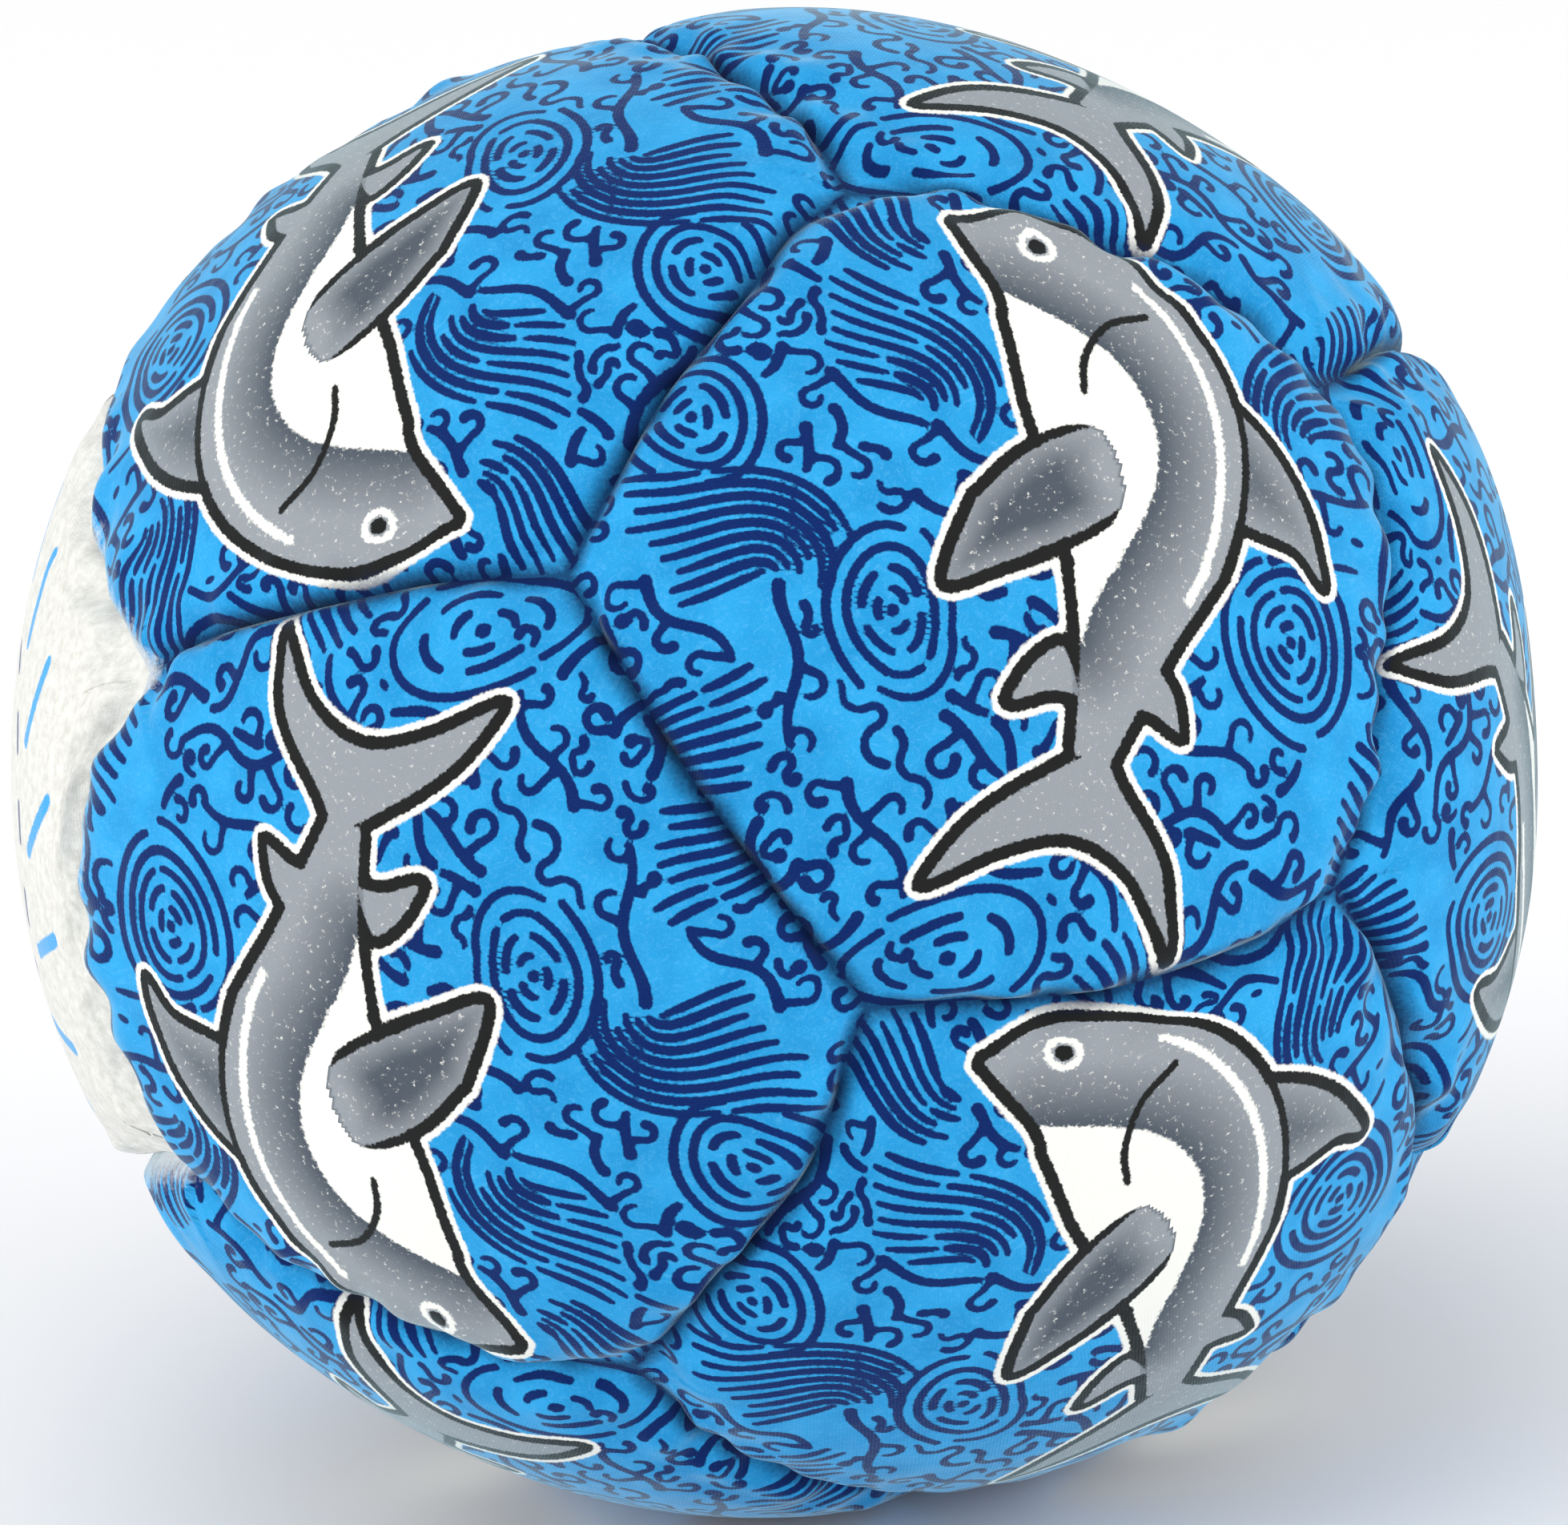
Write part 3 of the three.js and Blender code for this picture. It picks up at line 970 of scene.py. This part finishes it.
def badge_fields(at):
    """The badge as distances: from its pale strokes and from its dashes."""
    pale = np.full(len(at), 2.0)
    dark = np.full(len(at), 2.0)
    for k in range(BADGE_STROKES):
        angle = 2 * math.pi * (k + 0.5) / BADGE_STROKES
        a, b = angle - BADGE_LEAN, angle + BADGE_LEAN
        line = np.array([
            [(BADGE_RADIUS - 1.6) * math.cos(a), (BADGE_RADIUS - 1.6) * math.sin(a)],
            [(BADGE_RADIUS + 1.6) * math.cos(b), (BADGE_RADIUS + 1.6) * math.sin(b)],
        ])
        pale = np.minimum(pale, line_distance(at, line) - 0.34)
        turn = np.linspace(angle - 0.09, angle + 0.09, 4)
        line = DASH_RADIUS * np.c_[np.cos(turn), np.sin(turn)]
        dark = np.minimum(dark, line_distance(at, line) - 0.24)
    return {"badge_pale": pale, "badge_dark": dark}


# ---- Materials ----

def srgb(red, green, blue):
    """A linear colour from 0 to 255 screen values."""
    def linear(v):
        v = v / 255
        return v / 12.92 if v <= 0.04045 else ((v + 0.055) / 1.055) ** 2.4
    return (linear(red), linear(green), linear(blue), 1.0)


class Nodes:
    """A material's node tree, with a short way to add and join nodes."""

    def __init__(self, name):
        self.material = bpy.data.materials.new(name)
        self.material.use_nodes = True
        self.tree = self.material.node_tree
        self.tree.nodes.clear()
        self.shader = self.add("ShaderNodeBsdfPrincipled")
        output = self.add("ShaderNodeOutputMaterial")
        self.tree.links.new(self.shader.outputs[0], output.inputs["Surface"])

    def add(self, kind, **settings):
        node = self.tree.nodes.new(kind)
        for key, value in settings.items():
            setattr(node, key, value)
        return node

    def put(self, value, socket):
        if isinstance(value, bpy.types.NodeSocket):
            self.tree.links.new(value, socket)
        else:
            socket.default_value = value

    def set(self, name, value):
        """Sets or feeds one of the shader's own sockets."""
        self.put(value, self.shader.inputs[name])

    def attribute(self, name, output="Fac"):
        return self.add("ShaderNodeAttribute", attribute_name=name).outputs[output]

    def math(self, kind, a, b=0.0):
        node = self.add("ShaderNodeMath", operation=kind)
        self.put(a, node.inputs[0])
        self.put(b, node.inputs[1])
        return node.outputs[0]

    def ragged(self, distance, rag, amount):
        """A distance whose edge a noise makes uneven."""
        return self.math("ADD", distance, self.math("MULTIPLY", rag, amount))

    def step(self, value, low, high, to_low=0.0, to_high=1.0):
        node = self.add("ShaderNodeMapRange")
        names = ("Value", "From Min", "From Max", "To Min", "To Max")
        for name, given in zip(names, (value, low, high, to_low, to_high)):
            self.put(given, node.inputs[name])
        return node.outputs[0]

    def mix(self, factor, a, b, blend="MIX"):
        node = self.add("ShaderNodeMix", data_type="RGBA", blend_type=blend)
        self.put(factor, node.inputs["Factor"])
        self.put(a, node.inputs[6])
        self.put(b, node.inputs[7])
        return node.outputs[2]

    def noise(self, where, scale, detail=3.0, rough=0.5):
        node = self.add("ShaderNodeTexNoise")
        self.put(where, node.inputs["Vector"])
        node.inputs["Scale"].default_value = scale
        node.inputs["Detail"].default_value = detail
        node.inputs["Roughness"].default_value = rough
        return node.outputs["Fac"]

    def centred_noise(self, where, scale, detail, rough):
        return self.math("SUBTRACT", self.noise(where, scale, detail, rough), 0.5)

    def varied_roughness(self, where, scale, low, high, detail=3.0):
        self.set("Roughness", self.step(self.noise(where, scale, detail), 0.3, 0.7, low, high))

    def wave(self, where, direction, scale, **sockets):
        node = self.add("ShaderNodeTexWave", bands_direction=direction)
        self.put(where, node.inputs["Vector"])
        node.inputs["Scale"].default_value = scale
        for name, value in sockets.items():
            node.inputs[name.replace("_", " ")].default_value = value
        return node.outputs["Fac"]

    def knit(self, where):
        """Rows of small loops, as brushed knit shows them close to: a height from 0 to 1."""
        rows, columns = (
            self.wave(where, direction, scale, Distortion=1.6, Detail=2.0, Detail_Scale=2.0)
            for direction, scale in (("X", 2.1), ("Y", 2.7))
        )
        return self.math("MULTIPLY", rows, columns)

    def bump(self, height, distance, strength, under=None):
        node = self.add("ShaderNodeBump")
        node.inputs["Strength"].default_value = strength
        node.inputs["Distance"].default_value = distance
        self.put(height, node.inputs["Height"])
        if under is not None:
            self.put(under, node.inputs["Normal"])
        return node.outputs["Normal"]

    def object_place(self):
        return self.add("ShaderNodeTexCoord").outputs["Object"]


BLUE = srgb(42, 160, 222)
BLUE_DEEP = srgb(30, 144, 206)
NAVY = srgb(2, 18, 90)
BLACK = srgb(30, 30, 30)
GREY = srgb(146, 152, 158)
GREY_DARK = srgb(78, 86, 96)
PALE = srgb(238, 238, 231)
BLUE_BRUSHED = srgb(110, 200, 250)
BLUE_FIBRES = srgb(120, 205, 252)
# Painted shade: the dark navy that the cloth is darkened towards in the seams' creases
PAINTED_SEAM_SHADE = srgb(8, 30, 76)
FLUFF = srgb(226, 232, 234)


def fabric_surface(n, place, colour, fuzz_bump):
    """The brushed knit's finish: soft sheen, high roughness that varies, and fine bumps."""
    n.set("Base Color", colour)
    n.varied_roughness(place, 0.5, 0.78, 0.92, 2.0)
    n.set("Sheen Weight", 0.6)
    n.set("Sheen Roughness", 0.3)
    n.set("Sheen Tint", (0.66, 0.92, 1.0, 1.0))
    n.set("Specular IOR Level", 0.12)
    knit = n.bump(n.knit(place), 0.03 * MM, 0.35)
    fuzz = n.bump(n.noise(place, 6.0, 3.0, 0.65), 0.05 * MM, fuzz_bump, knit)
    soft = n.bump(n.noise(place, 0.7, 3.0), 0.14 * MM, 0.45, fuzz)
    n.set("Normal", soft)


def waves_on_cloth(n, place, rag):
    """The blue ground, brushed and uneven, with the navy strokes on it."""
    fine = n.centred_noise(place, 14.0, 2.0, 0.6)
    ink = n.step(n.ragged(n.attribute("wave"), rag, 0.14), 0.02, -0.04)
    cloth = n.mix(n.step(n.noise(place, 0.35, 2.0), 0.35, 0.65), BLUE_DEEP, BLUE)
    cloth = n.mix(n.step(fine, 0.05, 0.3, 0.0, 0.22), cloth, BLUE_BRUSHED)
    fibres = n.noise(place, 2.2, 4.0, 0.7)
    fibres.node.inputs["Distortion"].default_value = 2.5
    cloth = n.mix(n.step(fibres, 0.5, 0.8, 0.0, 0.35), cloth, BLUE_FIBRES)
    return n.mix(n.math("MULTIPLY", ink, n.step(fine, -0.3, 0.3, 1.0, 0.92)), cloth, NAVY)


def fish_over(n, place, rag, colour):
    """The fish on a colour: a pale surround, shaded and speckled grey, pale parts, black lines."""
    edge = n.ragged(n.attribute("fish"), rag, 0.26)
    colour = n.mix(n.step(edge, 0.62, 0.52), colour, PALE)
    grey = n.mix(n.attribute("fish_shade"), GREY, GREY_DARK)
    specks = n.step(n.noise(place, 3.2, 4.0, 0.75), 0.60, 0.66)
    grey = n.mix(n.math("MULTIPLY", specks, 0.75), grey, PALE)
    pale = n.ragged(n.attribute("fish_pale"), rag, 0.5)
    grey = n.mix(n.step(pale, 0.05, -0.05), grey, PALE)
    colour = n.mix(n.step(edge, 0.04, -0.02), colour, grey)
    line = n.ragged(n.attribute("fish_line"), rag, 0.26)
    inner = n.math("MULTIPLY", n.step(line, 0.03, -0.03), n.step(edge, 0.05, 0.0))
    colour = n.mix(inner, colour, BLACK)
    rim = n.math("SUBTRACT", n.math("ABSOLUTE", edge), OUTLINE_WIDTH / 2)
    return n.mix(n.step(rim, 0.03, -0.03), colour, BLACK)


def printed_fabric():
    """The print, with painted shade down in the seams and white fluff on it beside the white panel."""
    n = Nodes("printed_blue_fabric")
    place = n.attribute("place", "Vector")
    rag = n.centred_noise(place, 5.0, 3.0, 0.6)
    colour = fish_over(n, place, rag, waves_on_cloth(n, place, rag))
    # Painted shade: the colour darkens towards each seam, standing in for the shadow down in its crease
    seam = n.ragged(n.attribute("seam"), rag, 0.5)
    colour = n.mix(n.step(seam, 0.1, 0.8, 0.85, 0.0), colour, PAINTED_SEAM_SHADE)
    fluff = n.ragged(n.attribute("from_white"), n.noise(place, 2.0, 6.0, 0.85), -3.0)
    colour = n.mix(n.step(fluff, -0.4, -1.3, 0.0, 0.7), colour, FLUFF)
    fabric_surface(n, place, colour, 0.22)
    return n.material


def white_fabric():
    n = Nodes("white_fabric")
    place = n.attribute("place", "Vector")
    rag = n.centred_noise(place, 4.0, 3.0, 0.6)
    patches = n.step(n.noise(place, 1.6, 4.0, 0.7), 0.35, 0.65)
    cloth = n.mix(patches, srgb(205, 205, 198), srgb(232, 231, 225))
    pale = n.ragged(n.attribute("badge_pale"), rag, 0.25)
    dark = n.ragged(n.attribute("badge_dark"), rag, 0.2)
    colour = n.mix(n.step(pale, 0.05, -0.05), cloth, srgb(40, 160, 225))
    colour = n.mix(n.step(dark, 0.05, -0.05), colour, srgb(34, 56, 120))
    fabric_surface(n, place, colour, 0.5)
    n.set("Sheen Tint", (1.0, 1.0, 1.0, 1.0))
    return n.material


def thread(name, dark, light):
    """Twisted sewing thread: slanting strands of two close colours."""
    n = Nodes(name)
    place = n.object_place()
    strands = n.wave(place, "DIAGONAL", 1400, Distortion=1.5)
    n.set("Base Color", n.mix(strands, dark, light))
    n.varied_roughness(place, 900, 0.45, 0.7)
    n.set("Sheen Weight", 0.2)
    n.set("Normal", n.bump(strands, 0.06 * MM, 0.6))
    return n.material


def liner_cloth():
    """Thin close-woven lining."""
    n = Nodes("liner_fabric")
    place = n.object_place()
    weave = n.wave(place, "X", 900)
    for direction in ("Y", "Z"):
        weave = n.math("ADD", weave, n.wave(place, direction, 900))
    tint = n.mix(n.noise(place, 120), srgb(226, 221, 208), srgb(240, 237, 228))
    n.set("Base Color", n.mix(n.step(weave, 0.8, 2.2, 0.0, 0.25), tint, srgb(200, 193, 176)))
    n.varied_roughness(place, 300, 0.6, 0.8)
    n.set("Normal", n.bump(weave, 0.05 * MM, 0.5))
    return n.material


def sand_grains():
    """Fine dry sand: grains of several tans with dark and glassy ones among them."""
    n = Nodes("sand")
    place = n.object_place()
    grains = n.add("ShaderNodeTexVoronoi")
    n.put(place, grains.inputs["Vector"])
    grains.inputs["Scale"].default_value = 2600
    one = n.add("ShaderNodeSeparateColor")
    n.put(grains.outputs["Color"], one.inputs[0])
    colour = n.mix(one.outputs[0], srgb(206, 180, 134), srgb(234, 214, 174))
    colour = n.mix(n.step(one.outputs[1], 0.9, 0.95), colour, srgb(120, 98, 70))
    n.set("Base Color", colour)
    n.set("Roughness", n.step(one.outputs[2], 0.0, 1.0, 0.4, 0.95))
    n.set("Normal", n.bump(grains.outputs["Distance"], 0.2 * MM, 0.8))
    return n.material


def floor_paint():
    n = Nodes("floor")
    place = n.object_place()
    n.set("Base Color", n.mix(n.noise(place, 3.0), srgb(243, 243, 244), srgb(248, 248, 249)))
    n.set("Roughness", 0.9)
    return n.material


# ---- The visible model ----

def assign(piece, material):
    piece.data.materials.clear()
    piece.data.materials.append(material)


def from_white_panel(out):
    """How far directions from the centre are from the white panel's seam, in millimetres."""
    own = (out @ AXES.T).max(axis=1)
    white = out @ AXES[NAMES.index(WHITE_END)]
    return seam_arc(own - white)


def make_panels():
    coarse, squares = kite_grid(CLOTH_STEPS)
    simulated = cover_points(coarse, squares)
    printed, white = printed_fabric(), white_fabric()
    print_fields = {}
    for name in NAMES:
        fine, faces, flat = subdivided(name, simulated[name], squares, coarse)
        piece, away, source = panel_mesh(name, fine, faces, flat)
        places = print_places(flat)
        mesh = piece.data
        add_places(mesh, places[source])
        if name == WHITE_END:
            fields = badge_fields(places)
            material, slot = white, "white_fabric"
        else:
            print_fields = print_fields or {"wave": wave_field(places), **fish_fields(places)}
            fields = {**print_fields, "from_white": from_white_panel(directions(flat, name))}
            material, slot = printed, "printed_blue_fabric"
        for key, values in {"seam": away, **fields}.items():
            add_attribute(mesh, key, values[source])
        assign(piece, material)
        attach(piece, "root")
        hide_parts(name)


def finish_inner_nodes():
    """Materials for the CAD nodes that stay: threads, liner and sand."""
    looks = {
        "blue_thread": thread("blue_thread", srgb(24, 92, 160), srgb(48, 136, 205)),
        "white_thread": thread("white_thread", srgb(214, 214, 208), srgb(240, 240, 236)),
        "liner_fabric": liner_cloth(),
        "sand": sand_grains(),
    }
    slots = {part["node"]: part["material_slot"] for part in frame["record"]["subparts"]}
    for node, piece in frame["nodes"].items():
        if slots[node] in looks:
            assign(piece, looks[slots[node]])


# ---- Floor, light and camera ----

FLOOR_SIZE = 6.0
CAMERA_AZIMUTH = math.radians(5.45)
CAMERA_ELEVATION = math.radians(19.8)
CAMERA_ROLL = math.radians(-4.7)
CAMERA_DISTANCE = 1.2
SENSOR = 36.0
VIEW_WIDTH = 65.4 * MM          # what the picture takes in across, at the ball's middle
AIM_RIGHT = 0.25 * MM
LIGHTS = [  # name, place, size, power
    ("top_light", (-0.10, -0.10, 0.75), 0.7, 1.4),
    ("front_light", (0.25, -0.9, 0.35), 0.7, 0.15),
    ("low_light", (-0.1, -0.8, 0.04), 0.5, 0.9),
    ("left_light", (-0.8, -0.25, 0.3), 0.6, 3.4),
    ("right_light", (0.8, -0.2, 0.3), 0.6, 3.4),
]
WORLD_STRENGTH = 0.7


def make_floor():
    half = FLOOR_SIZE / 2
    low = -0.02 * MM
    corners = [(-half, -half, low), (half, -half, low), (half, half, low), (-half, half, low)]
    floor = mesh_object("floor", corners, [(0, 1, 2, 3)])
    assign(floor, floor_paint())


def area_light(name, place, size, power):
    """A round soft light that faces the ball's middle."""
    lamp = bpy.data.lights.new(name, "AREA")
    lamp.shape = "DISK"
    lamp.size = size
    lamp.energy = power
    light = bpy.data.objects.new(name, lamp)
    light.location = place
    light.rotation_mode = "QUATERNION"
    towards = Vector((0, 0, CENTRE_HEIGHT)) - Vector(place)
    light.rotation_quaternion = towards.to_track_quat("-Z", "Y")
    bpy.context.scene.collection.objects.link(light)


def make_lights():
    for light in LIGHTS:
        area_light(*light)
    world = bpy.data.worlds.new("studio")
    world.use_nodes = True
    background = world.node_tree.nodes["Background"]
    background.inputs["Color"].default_value = (1, 1, 1, 1)
    background.inputs["Strength"].default_value = WORLD_STRENGTH
    bpy.context.scene.world = world


def make_camera():
    a, e = CAMERA_AZIMUTH, CAMERA_ELEVATION
    back = Vector((math.sin(a) * math.cos(e), -math.cos(a) * math.cos(e), math.sin(e)))
    right = Vector((math.cos(a), math.sin(a), 0))
    up = back.cross(right)
    data = bpy.data.cameras.new("camera")
    data.sensor_width = SENSOR
    data.lens = SENSOR * CAMERA_DISTANCE / VIEW_WIDTH
    data.clip_start, data.clip_end = 0.05, 20
    camera = bpy.data.objects.new("camera", data)
    turn = Matrix((right, up, back)).transposed() @ Matrix.Rotation(CAMERA_ROLL, 3, "Z")
    camera.matrix_world = turn.to_4x4()
    camera.location = Vector((0, 0, CENTRE_HEIGHT)) + back * CAMERA_DISTANCE
    camera.location += turn @ Vector((AIM_RIGHT, 0, 0))
    bpy.context.scene.collection.objects.link(camera)
    bpy.context.scene.camera = camera


bpy.context.scene.view_settings.view_transform = "Standard"
make_camera()
make_lights()
make_floor()
make_panels()
finish_inner_nodes()
